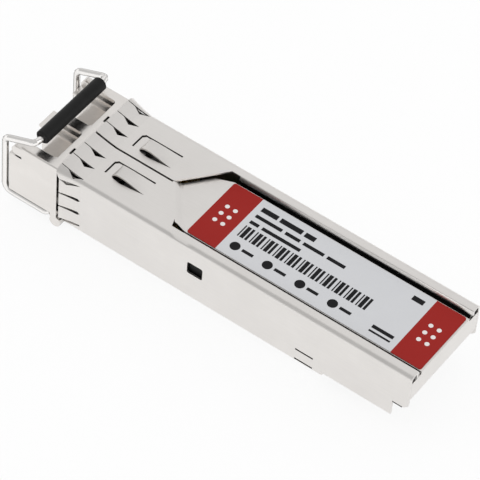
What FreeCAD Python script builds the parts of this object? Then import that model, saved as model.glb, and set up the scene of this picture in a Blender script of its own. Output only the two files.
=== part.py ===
import FreeCAD, Part
import math
import os
import re
import Sketcher

# A pluggable optical transceiver: die-cast nose with two fibre ports, a stamped sheet sleeve
# wrapped round a circuit board, and a wire bail that works the latch underneath.
# Millimetres. X runs across, Y from the ports to the card edge, Z up towards the label.
# Sizes are given from the nose's shoulder (Y = 0), the middle (X = 0) and the sleeve's underside (Z = 0).

SIZES = {
    # Sleeve
    "shell_width": 13.4,
    "shell_height": 8.5,
    "shell_length": 48.2,
    "sheet": 0.25,
    "fold_radius": 0.6,
    "slit": 0.25,
    "fit": 0.02,
    "overcut": 1.0,
    # Earthing fingers round the sleeve's front
    "top_tip": 0.2,
    "side_tip": 0.69,
    "finger_root": 3.3,
    "finger_flare": 0.7,
    "finger_room": 0.5,
    "slot_tip": 0.1,
    "slot_neck": 2.1,
    "slot_belly": 1.1,
    "slot_wide": 0.6,
    "corner_neck": 2.4,
    "corner_belly": 1.8,
    "side_slot_wide": 0.5,
    "side_slot_end": 0.3,
    "wedge_drop": 1.0,
    "top_pitch": 2.05,
    "side_pitch": 2.2,
    "corner_drop": 0.75,
    "side_slot_low": 1.15,
    # Sprung tongues in the sleeve's top
    "tongue_centre": 2.55,
    "tongue_width": 2.3,
    "tongue_front": 4.35,
    "tongue_root": 9.9,
    "tongue_rise": 0.7,
    "tongue_far_rise": 0.1,
    "tongue_slit": 0.22,
    "tongue_corner": 0.35,
    "tongue_room": 0.7,
    "lance_setback": 1.05,
    "lance_bulge": 0.34,
    # Sunken label panel
    "seam_end": 11.15,
    "rail_width": 1.32,
    "lip_depth": 0.85,
    "lip_front": 16.7,
    "panel_slit": 0.7,
    "panel_shoulder": 15.5,
    "panel_depth": 0.66,
    "panel_corner": 0.9,
    "ramp_run": 1.2,
    "relief_run": 1.0,
    "relief_width": 0.45,
    "flap_edge": 4.6,
    # Openings in the sleeve's walls and floor
    "window_start": 18.3,
    "window_length": 2.1,
    "window_sill": 4.2,
    "window_height": 1.8,
    "window_corner": 0.25,
    "dash_setback": 3.6,
    "dash_length": 2.4,
    "dash_low": 0.6,
    "dash_pitch": 1.62,
    "floor_open": 11.3,
    "skirt_height": 0.85,
    "tail_length": 2.0,
    "tail_height": 3.2,
    "tail_chamfer": 0.5,
    "boss_gap": 0.3,
    # Label
    "label_side_gap": 0.8,
    "label_front_gap": 1.0,
    "label_rear_gap": 0.25,
    "label_thickness": 0.08,
    "label_corner": 0.3,
    # Nose
    "nose_width": 13.7,
    "nose_height": 8.6,
    "nose_front": 6.75,
    "nose_rear": 0.05,
    "brow_front": 5.0,
    "sill_height": 6.75,
    "edge_round": 0.25,
    "collar_rear": 4.1,
    "port_pitch": 6.25,
    "port_size": 4.75,
    "port_floor": 1.7,
    "port_end": 1.2,
    "lip_thickness": 0.4,
    "key_slot": 3.5,
    "top_window": 4.85,
    "step_window": 4.3,
    "step_depth": 0.8,
    "window_rear": 1.0,
    "window_round": 0.4,
    "catch_depth": 0.3,
    "leg_gap": 0.15,
    "lug_radius": 0.75,
    "lug_back": 0.1,
    "lug_low": 0.4,
    "lug_width": 1.65,
    "hinge_boss": 0.95,
    "hinge_width": 1.8,
    "notch_offset": 0.43,
    "notch_width": 1.0,
    "notch_length": 0.45,
    "notch_depth": 0.35,
    "ear_front": 5.75,
    "ear_height": 7.7,
    "ear_radius": 0.65,
    "ear_width": 0.9,
    # Tray behind the nose
    "tray_setback": 0.6,
    "tray_floor": 0.8,
    "tray_rail": 0.85,
    "saddle_front": 6.6,
    "saddle_rear": 10.0,
    # Bail
    "wire_radius": 0.39,
    "bail_inset": 0.25,
    "pivot_front": 1.4,
    "pivot_height": 0.05,
    "bail_clear": 0.34,
    "grip_front": 3.2,
    "grip_rise": 1.8,
    "low_bend": 1.0,
    "high_bend": 0.9,
    "grip_bend": 0.7,
    "pivot_bend": 0.45,
    "stub_length": 2.0,
    "wire_play": 0.04,
    "grip_radius": 0.875,
    "grip_length": 10.9,
    "grip_bevel": 0.15,
    # Latch
    "channel_width": 6.3,
    "channel_low": 1.3,
    "channel_high": 2.0,
    "channel_end": 6.3,
    "lever_width": 5.6,
    "lever_bottom": 0.32,
    "lever_thickness": 0.63,
    "lever_front": 5.8,
    "lever_rear": 5.95,
    "lever_pivot": 1.0,
    "lever_axis": 0.65,
    "knuckle_radius": 0.55,
    "pin_radius": 0.25,
    "pin_inset": 2.95,
    "boss_width": 2.6,
    "boss_length": 2.6,
    "boss_drop": 0.45,
    "latch_shoulder": 3.25,
    "spring_width": 1.4,
    "spring_sheet": 0.12,
    "spring_front": 1.4,
    "spring_bend": 2.5,
    "spring_tip": 5.5,
    # Optical sub-assemblies
    "ferrule_radius": 0.63,
    "barrel_radius": 1.45,
    "barrel_front": 1.9,
    "flange_radius": 2.2,
    "flange_thickness": 0.8,
    "neck_radius": 1.6,
    "stub_front": 1.5,
    "stub_radius": 0.9,
    "shield_thickness": 0.3,
    "shield_margin": 0.1,
    "can_radius": 2.3,
    "header_radius": 2.7,
    "header_thickness": 1.0,
    "lead_radius": 0.22,
    "lead_pitch": 1.27,
    "lead_length": 3.6,
    "clamp_inset": 0.1,
    # Circuit board
    "board_bottom": 2.25,
    "board_thickness": 1.0,
    "board_gap": 0.48,
    "board_front": 13.0,
    "board_shoulder": 0.3,
    "board_setback": 3.2,
    "edge_width": 9.2,
    "edge_bevel": 0.3,
    "contact_pitch": 0.8,
    "contact_width": 0.55,
    "contact_length": 3.4,
    "contact_setback": 0.2,
    "contact_thickness": 0.05,
    "chip_height": 0.9,
    "driver_size": 4.0,
    "driver_y": 19.5,
    "amplifier_size": 3.0,
    "amplifier_y": 19.0,
    "controller_size": 5.0,
    "controller_y": 29.5,
    "chip_x": 2.9,
    "passive_length": 1.0,
    "passive_width": 0.5,
    "passive_height": 0.5,
    "passive_pitch": 1.3,
    "bead_length": 1.6,
    "bead_width": 0.8,
    "bead_pitch": 2.0,
}

CONTACTS = 10
PASSIVES = 6
BEADS = 3
LEADS = 3
TONGUE_STEPS = 8
RAMP_STEPS = 4
FLARE_STEPS = 3
# How the fingers' outward lean grows from their roots: 1 is straight, more is curved
FLARE_CURVE = 1.25
BEND_STEPS = 3
# Where along its lance a tongue's near edge stands highest, counted from the front
TONGUE_PEAK = 0.25
# How far a lance bulges, as shares of its length from the front and of its full bulge
LANCE_SHAPE = ((0.7, 0.45), (0.3, 1.0), (0.08, 0.6))

doc = FreeCAD.newDocument("transceiver")
dims = doc.addObject("Spreadsheet::Sheet", "dims")
for row, (alias, size) in enumerate(SIZES.items(), start=1):
    dims.set(f"A{row}", alias)
    dims.set(f"B{row}", str(size))
    dims.setAlias(f"B{row}", alias)
doc.recompute()

nodes = []


def cells(text):
    """The expression with every size name pointing at its cell."""
    return re.sub(r"[a-z_]+", lambda m: "dims." + m.group() if m.group() in SIZES else m.group(), text)


def value(text):
    return float(dims.evalExpression(cells(text)))


# Derived places, as expressions of the driving sizes
HALF = "(shell_width / 2)"
INNER = "(shell_width / 2 - sheet - fit)"
INNER_LOW = "(sheet + fit)"
INNER_TOP = "(shell_height - sheet - fit)"
INNER_FOLD = "(fold_radius - sheet - fit)"
PORT_X = "(port_pitch / 2)"
AXIS = "(port_floor + port_size / 2)"
PORT_TOP = "(port_floor + port_size)"
PANEL_HALF = "(shell_width / 2 - rail_width)"
PANEL_TOP = "(shell_height - panel_depth)"
FOLD_SLOPE = f"((panel_shoulder - seam_end) / {PANEL_HALF})"
LABEL_HALF = f"({PANEL_HALF} - label_side_gap)"
FLOOR_END = "(shell_length - floor_open)"
TRAY_REAR = f"({FLOOR_END} - tray_setback)"
REBATE = "(bail_inset + wire_radius + leg_gap)"
REBATE_TOP = "(pivot_height + wire_radius + leg_gap)"
BAIL_X = "(nose_width / 2 - bail_inset)"
STUB_X = f"({BAIL_X} - stub_length)"
BAIL_FRONT = "(nose_front + bail_clear + wire_radius)"
GRIP_Z = "(nose_height + grip_rise)"
BOARD_TOP = "(board_bottom + board_thickness)"
BOARD_HALF = f"({INNER} - board_gap)"
BOARD_WIDE_END = f"({TRAY_REAR} - board_shoulder)"
BOARD_REAR = "(shell_length - board_setback)"
LEVER_TOP = "(lever_bottom + lever_thickness)"
PIN_HALF = "(nose_width / 2 - pin_inset)"
CLAMP_TOP = "(shell_height - sheet - tongue_room)"
TOP_SLOTS = "(3 * top_pitch + slit / 2)"
SIDE_SLOTS_LOW = "(side_slot_low - slit / 2)"
CORNER_SLOT = "(shell_height - corner_drop)"
SIDE_SLOTS_HIGH = f"({CORNER_SLOT} + slit / 2)"
SHIELD_REAR = "(collar_rear + shield_thickness)"
HEADER_REAR = "(saddle_rear + header_thickness)"
LEAD_Z = f"({BOARD_TOP} + lead_radius)"
# The part's origin: middle of its length, lowest point of its stop lugs
ORIGIN_Y = f"((shell_length - {BAIL_FRONT} - wire_radius) / 2)"
ORIGIN_Z = "(0 - lug_low - lug_radius)"


def place(item, x="0", y="0", z="0"):
    """Sets a sub-part into the part's frame and lists it as a node."""
    item.setExpression("Placement.Base.x", cells(x))
    item.setExpression("Placement.Base.y", cells(f"({y}) - {ORIGIN_Y}"))
    item.setExpression("Placement.Base.z", cells(f"({z}) - {ORIGIN_Z}"))
    nodes.append(item)


# Sketches: every corner, radius and centre is held by a dimension bound to the sheet

def pin(sketch, kind, geometry, point, text):
    index = sketch.addConstraint(Sketcher.Constraint(kind, -1, 1, geometry, point, value(text)))
    sketch.setExpression(f"Constraints[{index}]", cells(text))


def pin_point(sketch, geometry, point, u, v):
    pin(sketch, "DistanceX", geometry, point, u)
    pin(sketch, "DistanceY", geometry, point, v)


def set_radius(sketch, geometry, text):
    index = sketch.addConstraint(Sketcher.Constraint("Radius", geometry, value(text)))
    sketch.setExpression(f"Constraints[{index}]", cells(text))


def join(sketch, first, first_end, second, second_end):
    sketch.addConstraint(Sketcher.Constraint("Coincident", first, first_end, second, second_end))


def point(u, v):
    return FreeCAD.Vector(value(u), value(v), 0)


def polygon(*corners):
    """A closed outline of straight edges."""
    def draw(sketch):
        start = sketch.GeometryCount
        count = len(corners)
        ends = [point(u, v) for u, v in corners]
        for i in range(count):
            sketch.addGeometry(Part.LineSegment(ends[i], ends[(i + 1) % count]), False)
        for i in range(count):
            join(sketch, start + i, 2, start + (i + 1) % count, 1)
        for i, (u, v) in enumerate(corners):
            pin_point(sketch, start + i, 1, u, v)
    return draw


def rectangle(u0, u1, v0, v1):
    return polygon((u0, v0), (u1, v0), (u1, v1), (u0, v1))


def circle(u, v, radius):
    def draw(sketch):
        ring = Part.Circle(point(u, v), FreeCAD.Vector(0, 0, 1), value(radius))
        geometry = sketch.addGeometry(ring, False)
        pin_point(sketch, geometry, 3, u, v)
        set_radius(sketch, geometry, radius)
    return draw


def rounded(u0, u1, v0, v1, radius):
    """A rectangle with round corners."""
    radius = f"({radius})"
    near_u, far_u = f"({u0}) + {radius}", f"({u1}) - {radius}"
    near_v, far_v = f"({v0}) + {radius}", f"({v1}) - {radius}"
    sides = [((near_u, v0), (far_u, v0)), ((u1, near_v), (u1, far_v)),
             ((far_u, v1), (near_u, v1)), ((u0, far_v), (u0, near_v))]
    centres = [(far_u, near_v), (far_u, far_v), (near_u, far_v), (near_u, near_v)]

    def draw(sketch):
        start = sketch.GeometryCount
        for first, last in sides:
            sketch.addGeometry(Part.LineSegment(point(*first), point(*last)), False)
        for quarter, centre in enumerate(centres):
            ring = Part.Circle(point(*centre), FreeCAD.Vector(0, 0, 1), value(radius))
            turn = (quarter - 1) * math.pi / 2
            sketch.addGeometry(Part.ArcOfCircle(ring, turn, turn + math.pi / 2), False)
        for i, (first, last) in enumerate(sides):
            pin_point(sketch, start + i, 1, *first)
            pin_point(sketch, start + i, 2, *last)
            join(sketch, start + i, 2, start + 4 + i, 1)
            join(sketch, start + 4 + i, 2, start + (i + 1) % 4, 1)
            set_radius(sketch, start + 4 + i, radius)
    return draw


# Bodies and their features

def new_body(label):
    body = doc.addObject("PartDesign::Body", label)
    body.Label = label
    return body


def new_sketch(body, role, offset, outlines):
    plane = next(item for item in body.Origin.OriginFeatures if item.Role == role)
    sketch = body.newObject("Sketcher::SketchObject", f"{body.Label}_sketch")
    sketch.AttachmentSupport = (plane, [""])
    sketch.MapMode = "FlatFace"
    sketch.setExpression("AttachmentOffset.Base.z", cells(offset))
    for draw in outlines:
        draw(sketch)
    doc.recompute()
    return sketch


def feature(body, kind, role, low, high, *outlines):
    """Pads or pockets the outlines from low to high along the normal of one of the body's planes."""
    before = body.Shape.Volume if body.Tip else 0.0
    faces_back = role == "XZ_Plane"
    sketch = new_sketch(body, role, f"0 - ({low})" if faces_back else low, outlines)
    item = body.newObject(f"PartDesign::{kind}", f"{body.Label}_{kind.lower()}")
    item.Profile = sketch
    item.setExpression("Length", cells(f"({high}) - ({low})"))
    item.Reversed = (kind == "Pad") == faces_back
    doc.recompute()
    grew = body.Shape.Volume > before
    if grew != (kind == "Pad"):
        raise RuntimeError(f"{item.Label} changed nothing")
    return item


def pad(body, role, low, high, *outlines):
    return feature(body, "Pad", role, low, high, *outlines)


def pocket(body, role, low, high, *outlines):
    return feature(body, "Pocket", role, low, high, *outlines)


def revolve(body, *outlines):
    """Turns outlines of (radius, along) about the body's own Y axis."""
    sketch = new_sketch(body, "XY_Plane", "0", outlines)
    item = body.newObject("PartDesign::Revolution", f"{body.Label}_turned")
    item.Profile = sketch
    item.ReferenceAxis = (sketch, ["V_Axis"])
    item.Angle = 360
    doc.recompute()
    return item


def edge_feature(body, kind, size, chosen):
    """Rounds or bevels the edges of the body for which chosen(edge) holds."""
    base = body.Tip
    names = [f"Edge{i}" for i, edge in enumerate(base.Shape.Edges, start=1) if chosen(edge)]
    item = body.newObject(f"PartDesign::{kind}", f"{body.Label}_{kind.lower()}")
    item.Base = (base, names)
    item.setExpression("Radius" if kind == "Fillet" else "Size", cells(size))
    doc.recompute()
    return item


def runs_along(edge, axis, *places):
    """True for a straight edge along an axis that passes every (axis, expression) place."""
    first, last = edge.firstVertex().Point, edge.lastVertex().Point
    near = 1e-4
    straight = all(abs(first[i] - last[i]) < near for i in range(3) if i != axis)
    return straight and all(abs(first[i] - value(text)) < near for i, text in places)


def solid_feature(label, shape):
    item = doc.addObject("Part::Feature", label)
    item.Label = label
    item.Shape = shape
    return item


def both_sides(outline, u0, u1, *rest):
    """The same outline on the right and, mirrored, on the left."""
    return [outline(u0, u1, *rest), outline(f"0 - ({u1})", f"0 - ({u0})", *rest)]


# Die-cast nose with its tray

def make_nose():
    nose = new_body("nose_housing")
    across = ("0 - nose_width / 2", "nose_width / 2")
    pad(nose, "YZ_Plane", *across, polygon(
        ("0 - nose_front", "0"), ("nose_rear", "0"), ("nose_rear", "nose_height"),
        ("0 - brow_front", "nose_height"), ("0 - brow_front", "sill_height"),
        ("0 - nose_front", "sill_height")))
    edge_feature(nose, "Fillet", "edge_round", lambda edge: any(
        runs_along(edge, 1, (0, f"{side} * nose_width / 2"), (2, "nose_height")) for side in (-1, 1)))

    # Rebates along the lower edges for the bail's legs, then the bail's hinge bosses and the stop lugs
    pocket(nose, "XZ_Plane", "0 - nose_front", "0 - lug_back - lug_radius", *both_sides(
        rectangle, f"nose_width / 2 - {REBATE}", "nose_width / 2 + overcut", "0 - overcut", REBATE_TOP))
    hinge_out = f"(nose_width / 2 - {REBATE})"
    hinge = ("0 - pivot_front", "pivot_height")
    for low, high in ((f"{hinge_out} - hinge_width", hinge_out),
                      (f"0 - {hinge_out}", f"hinge_width - {hinge_out}")):
        pad(nose, "YZ_Plane", low, high, circle(*hinge, "hinge_boss"))
    for low, high in (("nose_width / 2 - lug_width", "nose_width / 2"),
                      ("0 - nose_width / 2", "lug_width - nose_width / 2")):
        pad(nose, "YZ_Plane", low, high, circle("0 - lug_back", "0 - lug_low", "lug_radius"))
    wire_hole = circle(*hinge, "wire_radius + wire_play")
    pocket(nose, "YZ_Plane", f"{STUB_X} - wire_play", hinge_out, wire_hole)
    pocket(nose, "YZ_Plane", f"0 - {hinge_out}", f"wire_play - {STUB_X}", wire_hole)

    # Round ears that the bail rests against
    for low, high in (("nose_width / 2 - ear_width", "nose_width / 2"),
                      ("0 - nose_width / 2", "ear_width - nose_width / 2")):
        pad(nose, "YZ_Plane", low, high, rectangle(
            "0 - ear_front", "edge_round - brow_front", "ear_height - ear_radius", "ear_height + ear_radius"))
        pad(nose, "YZ_Plane", low, high, circle("0 - ear_front", "ear_height", "ear_radius"))

    # The collar that carries the sleeve, with room behind its fingers, and the tray under the board
    pad(nose, "XZ_Plane", "nose_rear", "collar_rear", rounded(
        f"0 - {INNER}", INNER, INNER_LOW, INNER_TOP, INNER_FOLD))
    bevel = INNER_FOLD
    pad(nose, "XZ_Plane", "collar_rear", TRAY_REAR, polygon(
        (f"0 - {INNER}", "board_bottom"), (f"0 - {INNER}", f"{INNER_LOW} + {bevel}"),
        (f"{bevel} - {INNER}", INNER_LOW), (f"{INNER} - {bevel}", INNER_LOW),
        (INNER, f"{INNER_LOW} + {bevel}"), (INNER, "board_bottom"),
        (f"{INNER} - tray_rail", "board_bottom"), (f"{INNER} - tray_rail", "tray_floor"),
        (f"tray_rail - {INNER}", "tray_floor"), (f"tray_rail - {INNER}", "board_bottom")))
    pocket(nose, "XY_Plane", f"{INNER_TOP} - finger_room", "shell_height", rectangle(
        f"0 - {TOP_SLOTS}", TOP_SLOTS, "nose_rear", "finger_root"))
    for low, high in ((f"{INNER} - finger_room", HALF), (f"0 - {HALF}", f"finger_room - {INNER}")):
        pocket(nose, "YZ_Plane", low, high, rectangle(
            "nose_rear", "finger_root", SIDE_SLOTS_LOW, SIDE_SLOTS_HIGH))
    pad(nose, "XZ_Plane", "saddle_front", "saddle_rear", rectangle(
        f"0 - {INNER}", INNER, "tray_floor", AXIS))
    pocket(nose, "XZ_Plane", "saddle_front", "saddle_rear + header_thickness", *[
        circle(f"{side} * {PORT_X}", AXIS, "can_radius + fit") for side in (-1, 1)])

    # Fibre ports: square sockets, key slots between their lips, stepped windows and notches in the nose's top
    ports = [f"{side} * {PORT_X}" for side in (-1, 1)]
    front = "0 - nose_front"

    def cut_ports(end, width, low, high):
        pocket(nose, "XZ_Plane", front, end, *[
            rectangle(f"{centre} - {width} / 2", f"{centre} + {width} / 2", low, high) for centre in ports])

    cut_ports("port_end", "port_size", "port_floor", PORT_TOP)
    cut_ports("0 - window_rear", "key_slot", f"{PORT_TOP} - catch_depth", f"{PORT_TOP} + lip_thickness")
    cut_ports("0 - window_rear", "step_window", f"{PORT_TOP} + lip_thickness", "nose_height - step_depth")
    cut_ports("0 - window_rear", "top_window", "nose_height - step_depth", "nose_height + overcut")
    edge_feature(nose, "Fillet", "window_round", lambda edge: any(
        runs_along(edge, 2, (0, f"{centre} + {side} * top_window / 2"), (1, "0 - window_rear"))
        for centre in ports for side in (-1, 1)))
    pocket(nose, "XY_Plane", "nose_height - notch_depth", "nose_height + overcut", *[
        rectangle(f"{centre} + notch_offset - notch_width / 2", f"{centre} + notch_offset + notch_width / 2",
                  "nose_rear - notch_length", "nose_rear") for centre in ports])
    pocket(nose, "XZ_Plane", "port_end", "collar_rear", *[
        circle(centre, AXIS, "barrel_radius + fit") for centre in ports])

    # Latch channel under the ports, and the holes for its pin
    channel = ("0 - channel_width / 2", "channel_width / 2")
    pocket(nose, "XZ_Plane", front, "port_end", rectangle(*channel, "0 - overcut", "channel_low"))
    pocket(nose, "XZ_Plane", "port_end", "channel_end", rectangle(*channel, "0 - overcut", "channel_high"))
    pocket(nose, "YZ_Plane", f"0 - {PIN_HALF}", PIN_HALF, circle(
        "0 - lever_pivot", "lever_axis", "pin_radius + fit / 2"))
    place(nose)


# Stamped sleeve

def sleeve_outline(y, growth):
    """The sleeve's outer section at one place along it, grown outwards all round."""
    half, radius = value(HALF) + growth, value("fold_radius") + growth
    low, high = -growth, value("shell_height") + growth
    centres = [(half - radius, high - radius), (radius - half, high - radius),
               (radius - half, low + radius), (half - radius, low + radius)]
    arcs = []
    for quarter, (x, z) in enumerate(centres):
        turns = [math.pi / 2 * (quarter + part) for part in (0, 0.5, 1)]
        arcs.append([FreeCAD.Vector(x + radius * math.cos(turn), y, z + radius * math.sin(turn))
                     for turn in turns])
    edges = []
    for quarter, arc in enumerate(arcs):
        edges.append(Part.Arc(*arc).toShape())
        edges.append(Part.makeLine(arc[2], arcs[(quarter + 1) % 4][0]))
    return Part.Wire(edges)


def prism(corners, reach):
    return Part.Face(Part.makePolygon(corners + corners[:1])).extrude(reach)


def closing_slot(neck, belly):
    """A slot between two fingers: fine at their tips, wider, then closing to a point at their roots."""
    far, near = "0 - slot_tip / 2", "slot_tip / 2"
    return [("0", far), ("0", near), (f"finger_root - {neck}", near),
            (f"finger_root - {belly}", f"slot_wide + ({far})"), ("finger_root", far)]


def drop_slot():
    """A slot between two fingers that widens steadily from their tips to a blunt end."""
    far, near = "0 - slot_tip / 2", "slot_tip / 2"
    shoulder = "finger_root - side_slot_end"
    return [("0", far), ("0", near), (shoulder, f"side_slot_wide + ({far})"),
            ("finger_root", "side_slot_wide / 2"), (shoulder, far)]


def finger_band():
    """The earthing fingers: the sleeve's front spread outwards on three sides and split by slots."""
    root, front, side_front = value("finger_root"), value("top_tip"), value("side_tip")
    flare, sheet, over = value("finger_flare"), value("sheet"), value("overcut")
    top, side_top = value("shell_height"), value("shell_height - fold_radius")
    half = value(HALF) + flare + over
    low = value(f"{SIDE_SLOTS_LOW} + slit")
    under = -flare - over

    def spread_solid(inset):
        sections = []
        for step in range(FLARE_STEPS + 1):
            share = step / FLARE_STEPS
            growth = flare * share ** FLARE_CURVE - inset
            sections.append(sleeve_outline(root - (root - front) * share, growth))
        return Part.makeLoft(sections, True, True)

    def across_prism(*outline):
        """Everything within an outline of (y, z), right across the sleeve."""
        return prism([FreeCAD.Vector(-half, y, z) for y, z in outline], FreeCAD.Vector(2 * half, 0, 0))

    def top_slot(x, outline):
        corners = [FreeCAD.Vector(x + value(across), value(along), side_top) for along, across in outline]
        return prism(corners, FreeCAD.Vector(0, 0, half))

    def side_slot(z, outline):
        return across_prism(*[(value(along), z - value(across)) for along, across in outline])

    pitch, side_low, side_pitch = value("top_pitch"), value("side_slot_low"), value("side_pitch")
    usual = closing_slot("slot_neck", "slot_belly")
    seam = [("0", "0 - slit / 2"), ("0", "slit / 2"),
            ("finger_root", "slit / 2"), ("finger_root", "0 - slit / 2")]
    slots = [top_slot(k * pitch, usual) for k in (-3, -2, -1, 1, 2, 3)]
    slots.append(top_slot(0, seam))
    slots += [side_slot(side_low + k * side_pitch, drop_slot()) for k in (1, 2)]
    slots.append(side_slot(value(CORNER_SLOT), closing_slot("corner_neck", "corner_belly")))
    trims = [across_prism((-over, under), (side_front, under), (side_front, side_top),
                          (front, top + flare - 2 * sheet), (-over, top + flare - 2 * sheet)),
             across_prism((-over, under), (root + over, under), (root + over, low), (-over, low))]
    return spread_solid(0).cut([spread_solid(sheet), *trims, *slots])


def tongue_outline(centre):
    """The cuts round one tongue: a slit along its front and far side, a bulging lance on its near side."""
    far, near = f"({centre} - tongue_width / 2)", f"({centre} + tongue_width / 2)"
    far_in, front_in = f"({far} + tongue_slit)", "(tongue_front + tongue_slit)"
    lance = "(tongue_front + lance_setback)"
    length = f"(tongue_root - {lance})"
    bulge = [(f"{near} + lance_bulge * {share}", f"{lance} + {length} * {along}")
             for along, share in LANCE_SHAPE]
    return polygon(
        (near, "tongue_front"), (f"{far} + tongue_corner", "tongue_front"),
        (far, "tongue_front + tongue_corner"), (far, "tongue_root"), (near, "tongue_root"),
        *bulge, (near, lance), (far_in, lance),
        (far_in, f"{front_in} + tongue_corner"), (f"{far_in} + tongue_corner", front_in), (near, front_in))


def tongue_blade(centre):
    """One sprung tongue: sheet that bows out of the top, its near edge more than its far one."""
    near = value(f"{centre} + tongue_width / 2")
    far = value(f"{centre} - tongue_width / 2 + tongue_slit")
    front, root = value("tongue_front + lance_setback"), value("tongue_root")
    top, sheet = value("shell_height"), value("sheet")

    def bow(share):
        """Steep at the front, then a long run down to the root; 1 at the peak."""
        fall = (1 - TONGUE_PEAK) / (2 * TONGUE_PEAK)
        peak = TONGUE_PEAK ** 0.5 * (1 - TONGUE_PEAK) ** fall
        return share ** 0.5 * (1 - share) ** fall / peak

    sections = []
    for step in range(TONGUE_STEPS + 1):
        share = (step / TONGUE_STEPS) ** 2
        y = front + (root - front) * share
        near_z = top + value("tongue_rise") * bow(share)
        far_z = top + value("tongue_far_rise") * bow(share)
        corners = [(far, far_z), (near, near_z), (near, near_z - sheet), (far, far_z - sheet)]
        points = [FreeCAD.Vector(x, y, z) for x, z in corners]
        sections.append(Part.makePolygon(points + points[:1]))
    return Part.makeLoft(sections, True)


def panel_sheet():
    """The label panel: it ramps down from a fold beside the seam and ends in a flap across the rear."""
    half, slit, sheet = value(PANEL_HALF), value("slit"), value("sheet")
    inner, lip_low = value(INNER), value("shell_height - lip_depth")
    apex, shoulder = value("seam_end"), value("panel_shoulder")
    rear, top, depth = value("shell_length"), value("shell_height"), value("panel_depth")
    fold = FreeCAD.Vector(half, shoulder - apex, 0).normalize()
    square = FreeCAD.Vector(-fold.y, fold.x, 0)
    start = FreeCAD.Vector(0, apex, 0)
    run = value("ramp_run")

    def at(spot):
        """The panel's top surface over a point of its plan: an easy curve down across the ramp."""
        share = min(max((spot - start).dot(square) / run, 0), 1)
        return FreeCAD.Vector(spot.x, spot.y, top - depth * share ** 2 * (3 - 2 * share))

    def ramp_point(origin, direction, share):
        """The point on a plan line that lies that share of the way down the ramp."""
        reach = (run * share - (origin - start).dot(square)) / direction.dot(square)
        return origin + direction * reach

    edge = half - value("panel_slit")
    seam = FreeCAD.Vector(-fold.x, fold.y, 0)
    seam_start = start + square * (slit / (2 * fold.x))
    along = FreeCAD.Vector(0, 1, 0)
    near_top = start + fold * (edge / fold.x)
    cut = value("panel_corner")
    far_corner = seam_start + seam * ((edge - cut + seam_start.x) / fold.x)
    far_edge = FreeCAD.Vector(-edge, shoulder + cut, 0)
    shares = [step / RAMP_STEPS for step in range(RAMP_STEPS + 1)]
    near_side = [ramp_point(near_top, along, share) for share in shares]
    far_side = [ramp_point(seam_start, seam, share) for share in shares]
    strips = list(zip(near_side, near_side[1:], far_side[1:], far_side))
    flat = [far_side[-1], near_side[-1], FreeCAD.Vector(edge, rear, 0), FreeCAD.Vector(-edge, rear, 0),
            far_edge, far_corner]
    plates = []
    for outline in (*strips, flat):
        corners = [at(spot) for spot in outline]
        face = Part.Face(Part.makePolygon(corners + corners[:1]))
        plates.append(face.extrude(FreeCAD.Vector(0, 0, -sheet)))
    flap_top = value(PANEL_TOP)
    flap_low = value("flap_edge")
    flaps = [Part.makeBox(2 * reach, sheet, high - flap_low, FreeCAD.Vector(-reach, rear - sheet, flap_low))
             for reach, high in ((edge, flap_top), (inner, lip_low - slit))]
    return plates[0].fuse([*plates[1:], *flaps]).removeSplitter()


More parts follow.
